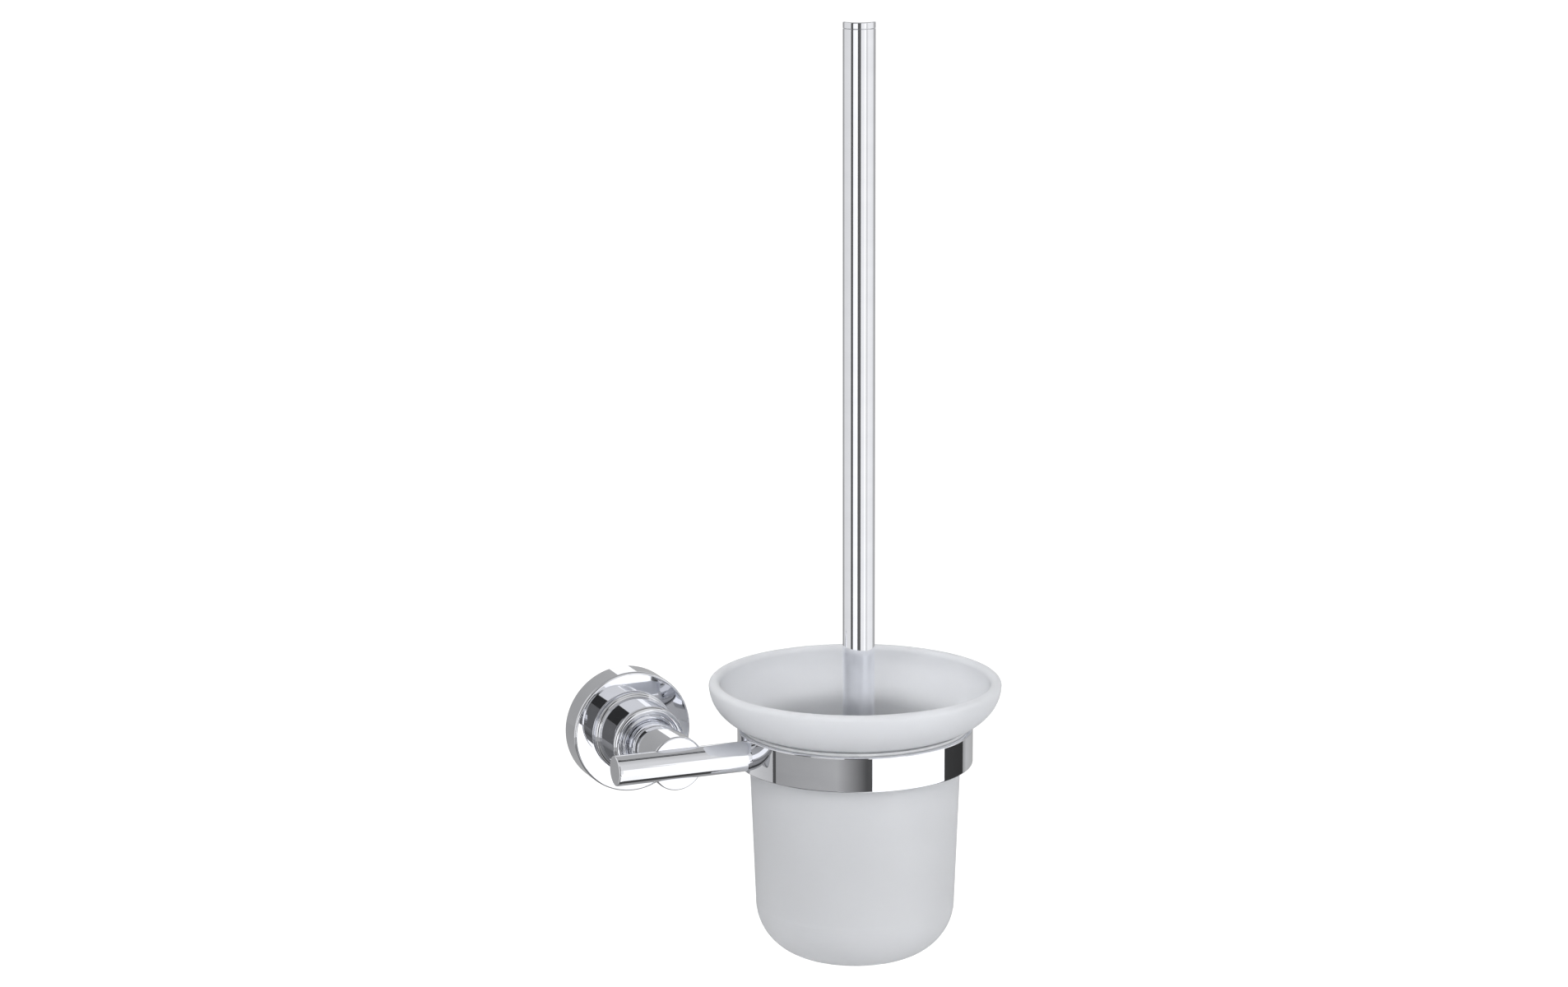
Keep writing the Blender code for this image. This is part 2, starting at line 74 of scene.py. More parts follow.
def add_camera():
    """A camera in front of the holder, a little to the left and above."""
    view = Vector((
        math.sin(VIEW_TURN) * math.cos(VIEW_DROP),
        math.cos(VIEW_TURN) * math.cos(VIEW_DROP),
        -math.sin(VIEW_DROP),
    ))
    level_right = Vector((math.cos(VIEW_TURN), -math.sin(VIEW_TURN), 0.0))
    level_up = level_right.cross(view)
    right = level_right * math.cos(VIEW_ROLL) + level_up * math.sin(VIEW_ROLL)
    up = level_up * math.cos(VIEW_ROLL) - level_right * math.sin(VIEW_ROLL)
    data = bpy.data.cameras.new("camera")
    data.lens = LENS_MM
    data.sensor_width = 36.0
    data.clip_start = 0.05
    data.clip_end = 60.0
    camera = bpy.data.objects.new("camera", data)
    bpy.context.scene.collection.objects.link(camera)
    turn = Matrix((right, up, -view)).transposed().to_4x4()
    camera.matrix_world = Matrix.Translation(VIEW_TARGET - view * VIEW_DISTANCE) @ turn
    bpy.context.scene.camera = camera


# ---------------------------------------------------------------- studio
FLOOR_Z = -0.9
FLOOR_SIZE = 60.0
TENT_RADIUS = 1.5  # a round tent of soft panels stands about the cup's axis
TENT_TOP = 1.5
LEDGE = -0.385  # the ring mirrors what is below this height, the handle what is above
SKIRT = -0.6
PANEL_STEP = 4.0  # degrees
# from and to in degrees round from the camera, plus to its right; bottom; top; brightness
# at from and at to
TENT = [
    # behind, on the left
    (-180, -128, FLOOR_Z, -0.2, 0.42, 0.34),
    (-180, -165, -0.2, 0.3, 0.45, 0.42),
    (-180, -165, 0.3, 0.7, 1.1, 1.1),
    (-180, -165, 0.7, TENT_TOP, 0.45, 0.42),
    (-165, -128, -0.2, TENT_TOP, 0.42, 0.36),
    # low belt, on the left and in front
    (-128, -87.3, SKIRT, LEDGE, 0.66, 0.50),
    (-87.3, -83.3, SKIRT, LEDGE, 0.08, 0.08),
    (-83.3, -18, SKIRT, LEDGE, 0.33, 0.42),
    (-128, -18, FLOOR_Z, SKIRT, 0.22, 0.22),
    (-18, 10, SKIRT, LEDGE, 0.42, 0.08),
    (10, 15.4, SKIRT, LEDGE, 0.08, 0.08),
    # foot of the tent, in front
    (-18, -12, FLOOR_Z, SKIRT, 0.9, 0.9),
    (-12, 21, -0.8, SKIRT, 0.14, 0.14),
    (-12, 21, FLOOR_Z, -0.8, 1.1, 1.1),
    # high belt, from left to right
    (-128, -60.3, LEDGE, TENT_TOP, 0.73, 0.80),
    (-60.3, -43.3, LEDGE, TENT_TOP, 0.10, 0.10),
    (-43.3, -11, LEDGE, 0.26, 1.05, 1.15),
    (-43.3, -11, 0.26, TENT_TOP, 0.30, 0.45),
    (-11, 11.5, LEDGE, 0.34, 0.13, 0.11),
    (-11, 13, 0.34, TENT_TOP, 0.03, 0.03),
    (11.5, 37, LEDGE, 0.34, 0.90, 0.94),
    (37, 47.5, LEDGE, 0.34, 1.15, 1.15),
    (13, 40, 0.34, TENT_TOP, 0.74, 0.74),
    (40, 47.5, 0.34, 0.62, 1.15, 1.15),
    (40, 64, 0.62, TENT_TOP, 0.72, 0.72),
    (47.5, 63.5, LEDGE, 0.62, 0.74, 0.74),
    (63.5, 110, LEDGE, TENT_TOP, 0.95, 0.88),
    (110, 131, LEDGE, TENT_TOP, 0.80, 0.40),
    (131, 165, LEDGE, TENT_TOP, 0.40, 0.42),
    # behind, on the right
    (165, 180, LEDGE, 0.3, 0.42, 0.42),
    (165, 180, 0.3, 0.7, 1.1, 1.1),
    (165, 180, 0.7, TENT_TOP, 0.42, 0.42),
    # low belt, on the right and behind
    (15.4, 95, SKIRT, LEDGE, 1.3, 1.3),
    (21, 95, FLOOR_Z, SKIRT, 1.3, 1.3),
    (95, 128, FLOOR_Z, LEDGE, 0.045, 0.035),
    (128, 136, FLOOR_Z, LEDGE, 0.32, 0.50),
    (136, 180, FLOOR_Z, LEDGE, 0.52, 0.36),
]
# level panels: height, left and right edge (along X), back and front edge (along Y),
# brightness at back and at front
LEVEL = [
    (TENT_TOP, -1.5, 1.6, 1.6, 0.12, 0.42, 0.42),
    (TENT_TOP, -1.5, 1.6, 0.12, -0.275, 0.06, 0.06),
    (TENT_TOP, -1.5, 1.6, -0.275, -1.6, 0.55, 0.75),
    (FLOOR_Z + 0.05, -1.5, 1.6, 1.6, 0.117, 0.40, 0.30),
    (FLOOR_Z + 0.05, -1.5, 1.6, 0.117, -0.31, 0.06, 0.06),
    (FLOOR_Z + 0.05, -1.5, -0.1, -0.31, -1.3, 0.25, 0.35),
]
SOFT_LIGHT_SIZE = 0.6
# soft lights on the glass: name, place from the cup's centre, radiance
SOFT_LIGHTS = [
    ("key_light", (-0.38, -0.7, 0.55), 3.2),
    ("back_light", (-0.55, 0.5, 0.7), 2.4),
    ("front_light", (0.45, -0.92, 0.0), 2.1),
]


def glowing_material():
    """Light as strong as the mesh's own glow attribute says."""
    material = bpy.data.materials.new("soft_panel")
    material.use_nodes = True
    nodes = material.node_tree.nodes
    nodes.clear()
    glow = nodes.new("ShaderNodeAttribute")
    glow.attribute_name = "glow"
    emission = nodes.new("ShaderNodeEmission")
    output = nodes.new("ShaderNodeOutputMaterial")
    material.node_tree.links.new(glow.outputs["Fac"], emission.inputs["Strength"])
    material.node_tree.links.new(emission.outputs[0], output.inputs["Surface"])
    return material


def stage_mesh(name, points, faces, material):
    """A mesh of the studio, which isn't part of the object."""
    mesh = bpy.data.meshes.new(name)
    mesh.from_pydata(points, [], faces)
    mesh.materials.append(material)
    obj = bpy.data.objects.new(name, mesh)
    bpy.context.scene.collection.objects.link(obj)
    return obj


def add_panel(name, points, faces, glow, material):
    """A studio panel that only shows as a reflection in polished surfaces."""
    panel = stage_mesh(name, points, faces, material)
    attribute = panel.data.attributes.new("glow", "FLOAT", "POINT")
    attribute.data.foreach_set("value", glow)
    panel.visible_camera = False
    panel.visible_diffuse = False
    panel.visible_transmission = False
    panel.visible_shadow = False


def add_tent():
    """Upright panels all round the cup's axis, and level ones above and below."""
    material = glowing_material()
    centre = centre_of("cup_ring")
    camera_side = math.atan2(-math.cos(VIEW_TURN), -math.sin(VIEW_TURN))
    for number, (start, end, bottom, top, first, last) in enumerate(TENT):
        steps = max(1, round((end - start) / PANEL_STEP))
        points = []
        glow = []
        for i in range(steps + 1):
            angle = camera_side + math.radians(start + (end - start) * i / steps)
            x = centre.x + TENT_RADIUS * math.cos(angle)
            y = centre.y + TENT_RADIUS * math.sin(angle)
            points += [(x, y, bottom), (x, y, top)]
            glow += [first + (last - first) * i / steps] * 2
        faces = [(2 * i, 2 * i + 2, 2 * i + 3, 2 * i + 1) for i in range(steps)]
        add_panel(f"tent_panel_{number}", points, faces, glow, material)
    for number, (height, left, right, back, front, first, last) in enumerate(LEVEL):
        points = [(left, back, height), (right, back, height)]
        points += [(right, front, height), (left, front, height)]
        glow = [first, first, last, last]
        add_panel(f"level_panel_{number}", points, [(0, 1, 2, 3)], glow, material)


def add_soft_lights():
    """Square soft lights that aren't seen themselves, and brighten the frosted glass."""
    centre = centre_of("glass_cup")
    for name, offset, radiance in SOFT_LIGHTS:
        data = bpy.data.lights.new(name, "AREA")
        data.shape = "SQUARE"
        data.size = SOFT_LIGHT_SIZE
        data.energy = radiance * math.pi * SOFT_LIGHT_SIZE**2
        light = bpy.data.objects.new(name, data)
        bpy.context.scene.collection.objects.link(light)
        light.location = centre + Vector(offset)
        aim = -Vector(offset).normalized()
        light.rotation_euler = aim.to_track_quat("-Z", "Y").to_euler()
        light.visible_camera = False
        light.visible_glossy = False


def restrict_soft_lights(pieces):
    """The soft lights fall on these pieces only: a brighter floor would light up the bowl."""
    lit = bpy.data.collections.new("soft_lit")
    for piece in pieces:
        lit.objects.link(bpy.data.objects[piece])
    for name, *_ in SOFT_LIGHTS:
        bpy.data.objects[name].light_linking.receiver_collection = lit


def add_floor():
    """A wide pale floor that glows a little."""
    half = FLOOR_SIZE / 2
    material = bpy.data.materials.new("pale_floor")
    material.use_nodes = True
    shader = material.node_tree.nodes["Principled BSDF"]
    shader.inputs["Base Color"].default_value = (0.9, 0.9, 0.9, 1.0)
    shader.inputs["Roughness"].default_value = 0.9
    shader.inputs["Emission Color"].default_value = (1.0, 1.0, 1.0, 1.0)
    shader.inputs["Emission Strength"].default_value = 0.2
    corners = [(-half, -half), (half, -half), (half, half), (-half, half)]
    stage_mesh("floor", [(x, y, FLOOR_Z) for x, y in corners], [(0, 1, 2, 3)], material)


def add_world():
    """An even white surround; the picture's colours are left as they are."""
    world = bpy.data.worlds.new("studio")
    world.use_nodes = True
    background = world.node_tree.nodes["Background"]
    background.inputs["Color"].default_value = (1.0, 1.0, 1.0, 1.0)
    background.inputs["Strength"].default_value = 1.0
    bpy.context.scene.world = world
    bpy.context.scene.view_settings.view_transform = "Standard"


# ---------------------------------------------------------------- materials
def new_material(name, **settings):
    """A material whose Principled sockets are set by name, with _ for a space."""
    material = bpy.data.materials.new(name)
    material.use_nodes = True
    shader = material.node_tree.nodes["Principled BSDF"]
    for socket, value in settings.items():
        shader.inputs[socket.replace("_", " ")].default_value = value
    return material


def add_node(material, kind, **values):
    node = material.node_tree.nodes.new(kind)
    for socket, value in values.items():
        node.inputs[socket.replace("_", " ")].default_value = value
    return node


def link(material, source, target):
    material.node_tree.links.new(source, target)


def noise(material, scale, detail=3.0, stretch=(1.0, 1.0, 1.0)):
    """Noise in the object's own metres; a scale of 1000 gives grains of about a millimetre."""
    place = add_node(material, "ShaderNodeTexCoord")
    mapping = add_node(material, "ShaderNodeMapping", Scale=stretch)
    texture = add_node(material, "ShaderNodeTexNoise", Scale=scale, Detail=detail)
    link(material, place.outputs["Object"], mapping.inputs["Vector"])
    link(material, mapping.outputs["Vector"], texture.inputs["Vector"])
    return texture.outputs["Fac"]


def spread(material, source, low, high):
    """The noise stretched to values between low and high."""
    node = add_node(
        material, "ShaderNodeMapRange",
        From_Min=NOISE_LOW, From_Max=NOISE_HIGH, To_Min=low, To_Max=high,
    )
    link(material, source, node.inputs["Value"])
    return node.outputs["Result"]


def tint(material, source, dark, light):
    """The noise as a colour between dark and light."""
    ramp = add_node(material, "ShaderNodeValToRGB")
    ramp.color_ramp.elements[0].position = NOISE_LOW
    ramp.color_ramp.elements[0].color = (*dark, 1.0)
    ramp.color_ramp.elements[1].position = NOISE_HIGH
    ramp.color_ramp.elements[1].color = (*light, 1.0)
    link(material, source, ramp.inputs["Fac"])
    return ramp.outputs["Color"]


def dress(material, colour, roughness, bump=None, strength=0.0, depth=0.0):
    """Links patterns to the shader's colour, roughness and surface normal."""
    shader = material.node_tree.nodes["Principled BSDF"]
    link(material, colour, shader.inputs["Base Color"])
    link(material, roughness, shader.inputs["Roughness"])
    if bump is not None:
        relief = add_node(material, "ShaderNodeBump", Strength=strength, Distance=depth)
        link(material, bump, relief.inputs["Height"])
        link(material, relief.outputs["Normal"], shader.inputs["Normal"])
    return material


def make_chrome():
    """Polished plate with faint wipe marks and slow waves from buffing."""
    material = new_material("polished_chrome", Metallic=1.0)
    smears = noise(material, 60.0, 4.0, (1.0, 1.0, 2.5))
    colour = tint(material, smears, (0.865, 0.875, 0.912), (0.905, 0.915, 0.952))
    roughness = spread(material, noise(material, 140.0, 5.0), 0.015, 0.045)
    return dress(material, colour, roughness, noise(material, 45.0, 1.0), 0.05, 0.02 * MM)


def make_plated_steel():
    material = new_material("plated_steel", Metallic=1.0)
    grain = noise(material, 500.0, 4.0)
    colour = tint(material, grain, (0.55, 0.56, 0.57), (0.68, 0.69, 0.69))
    return dress(material, colour, spread(material, grain, 0.22, 0.42), grain, 0.15, 0.03 * MM)


def make_cast_zinc():
    material = new_material("cast_zinc", Metallic=1.0)
    cloud = noise(material, 160.0, 6.0)
    grain = noise(material, 1400.0, 4.0)
    colour = tint(material, cloud, (0.42, 0.43, 0.44), (0.56, 0.57, 0.58))
    return dress(material, colour, spread(material, cloud, 0.38, 0.6), grain, 0.3, 0.08 * MM)


def make_nylon():
    material = new_material("grey_nylon", Subsurface_Weight=0.1)
    cloud = noise(material, 300.0, 3.0)
    colour = tint(material, cloud, (0.50, 0.51, 0.53), (0.58, 0.59, 0.61))
    grain = noise(material, 2500.0, 3.0)
    return dress(material, colour, spread(material, cloud, 0.42, 0.58), grain, 0.2, 0.03 * MM)


def make_liner_plastic():
    material = new_material("liner_plastic", Transmission_Weight=0.25, IOR=1.46)
    cloud = noise(material, 200.0, 3.0)
    colour = tint(material, cloud, (0.70, 0.71, 0.73), (0.78, 0.79, 0.80))
    return dress(material, colour, spread(material, cloud, 0.3, 0.42), cloud, 0.1, 0.02 * MM)


def make_frosted_glass():
    """Acid-etched glass: slow clouds in the etching and a fine grain."""
    material = new_material(
        "frosted_glass", Transmission_Weight=0.45, IOR=1.5, Subsurface_Weight=0.8,
        Subsurface_Scale=6 * MM, Subsurface_Radius=(1.0, 1.0, 1.0),
    )
    cloud = noise(material, 35.0, 4.0)
    colour = tint(material, cloud, (0.68, 0.691, 0.715), (0.705, 0.716, 0.74))
    grain = noise(material, 5000.0, 2.0)
    return dress(material, colour, spread(material, cloud, 0.5, 0.58), grain, 0.25, 0.02 * MM)


def make_hub_plastic():
    material = new_material("hub_plastic", Subsurface_Weight=0.15)
    cloud = noise(material, 180.0, 3.0)
    colour = tint(material, cloud, (0.84, 0.84, 0.83), (0.90, 0.90, 0.89))
    grain = noise(material, 3000.0, 2.0)
    return dress(material, colour, spread(material, cloud, 0.32, 0.46), grain, 0.15, 0.02 * MM)


def make_bristle_nylon():
    material = new_material("bristle_nylon", Subsurface_Weight=0.1)
    strands = noise(material, 900.0, 2.0)
    colour = tint(material, strands, (0.80, 0.80, 0.79), (0.95, 0.95, 0.94))
    return dress(material, colour, spread(material, strands, 0.35, 0.55))


# ---------------------------------------------------------------- shapes
def arc(centre, radius, start, end, count):
    """Points of a circular arc in a profile plane; the angles are in degrees from +X."""
    points = []
    for i in range(count + 1):
        angle = math.radians(start + (end - start) * i / count)
        points.append((centre[0] + radius * math.cos(angle), centre[1] + radius * math.sin(angle)))
    return points


def bezier(points, count):
    """Points of a cubic Bezier curve in a profile plane, without its first one."""
    made = []
    for i in range(1, count + 1):
        t = i / count
        weights = ((1 - t) ** 3, 3 * t * (1 - t) ** 2, 3 * t * t * (1 - t), t**3)
        made.append(tuple(sum(w * p[k] for w, p in zip(weights, points)) for k in (0, 1)))
    return made


def rounded(corners, closed=False, count=4):
    """A profile from (radius, height, fillet) corners, each rounded to its fillet if it has one."""
    points = []
    for i, corner in enumerate(corners):
        here = Vector(corner[:2])
        fillet = corner[2] if len(corner) > 2 else 0.0
        if not fillet or (not closed and i in (0, len(corners) - 1)):
            points.append(tuple(here))
            continue
        back = (Vector(corners[i - 1][:2]) - here).normalized()
        ahead = (Vector(corners[(i + 1) % len(corners)][:2]) - here).normalized()
        half = back.angle(ahead) / 2
        reach = fillet / math.tan(half)
        middle = here + (back + ahead).normalized() * fillet / math.sin(half)
        first = here + back * reach - middle
        last = here + ahead * reach - middle
        sweep = first.angle(last)
        for k in range(count + 1):
            share = k / count
            turned = first * math.sin((1 - share) * sweep) + last * math.sin(share * sweep)
            points.append(tuple(middle + turned / math.sin(sweep)))
    return points


def grid_mesh(name, rings, wrap):
    """A mesh from rings of points of equal count; wrap joins the last ring to the first.
    A ring whose points all coincide becomes a pole."""
    shape = bmesh.new()
    made = []
    for ring in rings:
        if max((Vector(p) - Vector(ring[0])).length for p in ring) < SAME_POINT:
            made.append([shape.verts.new(ring[0])] * len(ring))
        else:
            made.append([shape.verts.new(p) for p in ring])
    pairs = list(zip(made, made[1:]))
    if wrap:
        pairs.append((made[-1], made[0]))
    for upper, lower in pairs:
        for i in range(len(upper)):
            j = (i + 1) % len(upper)
            corners = [upper[i], upper[j], lower[j], lower[i]]
            unique = [v for k, v in enumerate(corners) if v is not corners[k - 1]]
            if len(unique) > 2:
                shape.faces.new(unique)
    bmesh.ops.recalc_face_normals(shape, faces=shape.faces)
    mesh = bpy.data.meshes.new(name)
    shape.to_mesh(mesh)
    shape.free()
    return mesh


def new_object(name, mesh):
    obj = bpy.data.objects.new(name, mesh)
    bpy.context.scene.collection.objects.link(obj)
    return obj


def smooth(obj):
    """Shades a piece smooth, except across its sharp edges."""
    obj.data.shade_smooth()
    obj.data.set_sharp_from_angle(angle=SHARP_ANGLE)
    return obj


def supported(profile, closed):
    """Adds points just inside the ends of long straight runs, so that they shade flat."""
    points = []
    for i, here in enumerate(profile):
        points.append(here)
        if i == len(profile) - 1 and not closed:
            break
        ahead = profile[(i + 1) % len(profile)]
        length = math.dist(here, ahead)
        if length > LONG_RUN:
            for share in (SUPPORT / length, 1 - SUPPORT / length):
                points.append(tuple(a + (b - a) * share for a, b in zip(here, ahead)))
    return points


def turned(name, profile, steps=128, at=(0, 0, 0), turn=ALONG_Z, closed=False, radius_at=None):
    """A lathe-turned piece. radius_at(radius, height, angle) may cut a thread into it."""
    place = Matrix.Translation(Vector(at)) @ turn.to_matrix().to_4x4()
    rings = []
    for radius, height in supported(profile, closed):
        ring = []
        for i in range(steps):
            angle = 2 * math.pi * i / steps
            r = radius_at(radius, height, angle) if radius_at else radius
            ring.append(place @ Vector((r * math.cos(angle), r * math.sin(angle), height)))
        rings.append(ring)
    return smooth(new_object(name, grid_mesh(name, rings, closed)))


def thread(start, end, pitch, depth):
    """A radius function that cuts a V thread of that depth between two heights."""
    def radius_at(radius, height, angle):
        if not start <= height <= end:
            return radius
        turns = (height / pitch + angle / (2 * math.pi)) % 1.0
        fade = min(1.0, (height - start) / pitch, (end - height) / pitch)
        return radius - depth * abs(2 * turns - 1) * fade
    return radius_at


def heights(start, end, step):
    """Evenly spaced heights from start to end, about one step apart."""
    count = max(1, round(abs(end - start) / step))
    return [start + (end - start) * i / count for i in range(count + 1)]


def rod_cutter(name, radius, start, end, at=(0, 0, 0), turn=ALONG_Z, steps=64):
    """A round or, with few steps, many-sided rod that a hole is cut with."""
    profile = [(0, end), (radius, end), (radius, start), (0, start)]
    return turned(name, profile, steps, at, turn)


def box_cutter(name, size, at):
    """A box that a slot is cut with."""
    shape = bmesh.new()
    bmesh.ops.create_cube(shape, size=1.0)
    bmesh.ops.scale(shape, verts=shape.verts, vec=size)
    bmesh.ops.translate(shape, verts=shape.verts, vec=at)
    mesh = bpy.data.meshes.new(name)
    shape.to_mesh(mesh)
    shape.free()
    return new_object(name, mesh)


def cut(obj, *tools):
    """Takes the tools' shapes out of obj, and removes the tools."""
    for tool in tools:
        boolean = obj.modifiers.new("cut", "BOOLEAN")
        boolean.operation = "DIFFERENCE"
        boolean.object = tool
    bpy.context.view_layer.update()
    graph = bpy.context.evaluated_depsgraph_get()
    mesh = bpy.data.meshes.new_from_object(obj.evaluated_get(graph))
    obj.modifiers.clear()
    obj.data = mesh
    for tool in tools:
        bpy.data.objects.remove(tool)
    return smooth(obj)


def place(obj, body, node, slot, material):
    """Gives a piece its body and its material, and hides the CAD node it stands for; slot is not
    used.
    """
    obj.data.materials.clear()
    obj.data.materials.append(material)
    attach(obj, body)
    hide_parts(node)


# ---------------------------------------------------------------- sizes from the frame
def radius_of(node, side=0):
    """Half of a node's size along X, or along the axis that side names."""
    low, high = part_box(node)
    return (high[side] - low[side]) / 2


def out_of_wall(node):
    """Nearest and farthest distance of a node from the wall."""
    low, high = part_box(node)
    return -high.y, -low.y


def centre_of(node):
    low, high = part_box(node)
    return (low + high) / 2


def axis_of(node):
    """Where a node's upright axis stands."""
    centre = centre_of(node)
    return Vector((centre.x, centre.y, 0.0))


CUP_AXIS = axis_of("cup_ring")
BRUSH_AXIS = axis_of("handle_tube")
ROD_AXIS = Vector((0.0, axis_of("arm_rod").y, 0.0))
ROD_R = radius_of("arm_rod", 2) + 0.1 * MM  # a little thicker than the CAD's rod
RING_R = radius_of("cup_ring")
BOLT_R = 2.5 * MM
BOLT_HOLE_R = 2.8 * MM
SHANK_R = 2.0 * MM


# ---------------------------------------------------------------- wall fixings
def make_backing_plate(zinc):
    """Disc on the wall: undercut edge, a recess for the bolt's head and two screw holes."""
    radius = radius_of("wall_plate")
    back, front = out_of_wall("wall_plate")
    recess_r = 6.9 * MM
    recess_floor = 3.7 * MM
    seat_r = 4.5 * MM
    seat_floor = 3.6 * MM
    outside = 9 * MM
    corners = [
        (0, recess_floor), (recess_r, recess_floor, 0.3 * MM), (recess_r, front, 0.3 * MM),
        (radius - 0.1 * MM, front, 0.3 * MM), (radius, front - 0.4 * MM, 0.2 * MM),
        (radius - 1.4 * MM, back, 0.3 * MM), (0, back),
    ]
    plate = turned("backing_plate", rounded(corners, count=3), 96, turn=FROM_WALL)
    tools = []
    for screw in ("upper", "lower"):
        at = (0, 0, centre_of("wall_screw_" + screw).z)
        tools.append(rod_cutter("hole", SHANK_R + 0.5 * MM, -MM, outside, at, FROM_WALL))
        tools.append(rod_cutter("seat", seat_r, seat_floor, outside, at, FROM_WALL))
    cut(plate, *tools)
    place(plate, "holder", "wall_plate", "zinc", zinc)


def make_plate_screw(screw, steel):
    """Pan head wood screw with a cross recess and a real helical thread."""
    node = "wall_screw_" + screw
    at = (0, 0, centre_of(node).z)
    tip, head = out_of_wall(node)
    seat = head - 2.4 * MM
    head_r = radius_of(node)
    pitch = 1.6 * MM
    groove = 0.55 * MM
    recess_wide, recess_deep, recess_thick = 4.0 * MM, 3.0 * MM, 0.9 * MM
    profile = [(0, head)]
    profile += rounded(
        [(0, head), (2.4 * MM, head, 1 * MM), (head_r, head - 1.5 * MM, 0.6 * MM), (head_r, seat)]
    )[1:]
    thread_start, thread_end = tip + 1.5 * MM, seat - 2.0 * MM
    profile += [(SHANK_R, seat)]
    profile += [(SHANK_R, h) for h in heights(thread_end, thread_start, 0.2 * MM)]
    profile += [(1.2 * MM, tip + 1.0 * MM), (0.25 * MM, tip), (0, tip)]
    cutting = thread(thread_start, thread_end, pitch, groove)
    body = turned("plate_screw_" + screw, profile, 32, at, FROM_WALL, radius_at=cutting)
    slots = [
        box_cutter("slot", (recess_wide, recess_deep, recess_thick), (0, -head, at[2])),
        box_cutter("slot", (recess_thick, recess_deep, recess_wide), (0, -head, at[2])),
    ]
    cut(body, *slots)
    place(body, "holder", node, "steel", steel)


def make_expansion_plug(screw, nylon):
    """Ribbed nylon plug with a collar, split from its tip for two thirds of its length."""
    node = "wall_plug_" + screw
    at = (0, 0, centre_of(node).z)
    collar_r = radius_of(node)
    body_r = collar_r - 0.5 * MM
    bore = SHANK_R + 0.3 * MM
    end, start = out_of_wall(node)
    ribs = 7
    split_wide = 0.7 * MM
    pitch = (start - end - 4.0 * MM) / ribs
    corners = [(bore, start), (collar_r, start, 0.2 * MM), (collar_r, start - 0.9 * MM, 0.2 * MM)]
    for i in range(ribs):
        top = start - 1.4 * MM - i * pitch
        corners += [(body_r - 0.5 * MM, top, 0.1 * MM), (body_r, top - pitch * 0.7, 0.15 * MM)]
    corners += [(body_r - 0.7 * MM, end, 0.3 * MM), (bore, end)]
    plug = turned(
        "expansion_plug_" + screw, rounded(corners, True, 2), 48, at, FROM_WALL, closed=True
    )
    length = start - end
    split = box_cutter(
        "split", (2 * collar_r + MM, length * 0.66, split_wide), (0, -end - length * 0.32, at[2])
    )
    cut(plug, split)
    place(plug, "holder", node, "nylon", nylon)


def make_flange_shell(chrome):
    """Cast cover: flat front, fine edge radius, and the grub screw's hole below."""
    radius = radius_of("flange_cover")
    back, front = out_of_wall("flange_cover")
    wall = 2.7 * MM
    inside_r = radius - wall
    inside = 9.2 * MM
    corners = [
        (BOLT_HOLE_R, front), (radius, front, 1.0 * MM), (radius, back, 0.4 * MM),
        (inside_r, back, 0.3 * MM), (inside_r, inside, 1.0 * MM), (BOLT_HOLE_R, inside),
    ]
    shell = turned("flange_shell", rounded(corners, True, 6), 192, turn=FROM_WALL, closed=True)
    at = (0, centre_of("grub_screw").y, 0)
    hole_r = radius_of("grub_screw") + 0.15 * MM
    cut(shell, rod_cutter("grub_hole", hole_r, inside_r - MM, radius + MM, at, DOWN))
    place(shell, "holder", "flange_cover", "chrome", chrome)


def make_locking_grub(steel):
    """Set screw with a hexagon socket, which locks the cover on the plate from below."""
    low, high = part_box("grub_screw")
    at = (0, centre_of("grub_screw").y, 0)
    radius = radius_of("grub_screw")
    socket_r = 1.15 * MM
    pitch = 0.7 * MM
    groove = 0.35 * MM
    tip, end = -high.z, -low.z
    profile = [(0, end), (radius - 0.35 * MM, end)]
    profile += [(radius, h) for h in heights(end - 0.3 * MM, tip + 1.2 * MM, 0.1 * MM)]
    profile += [(0.8 * MM, tip), (0, tip)]
    cutting = thread(tip + 1.0 * MM, end - 0.1 * MM, pitch, groove)
    grub = turned("locking_grub", profile, 40, at, DOWN, radius_at=cutting)
    cut(grub, rod_cutter("socket", socket_r, end - 2 * MM, end + MM, at, DOWN, steps=6))
    place(grub, "holder", "grub_screw", "steel", steel)


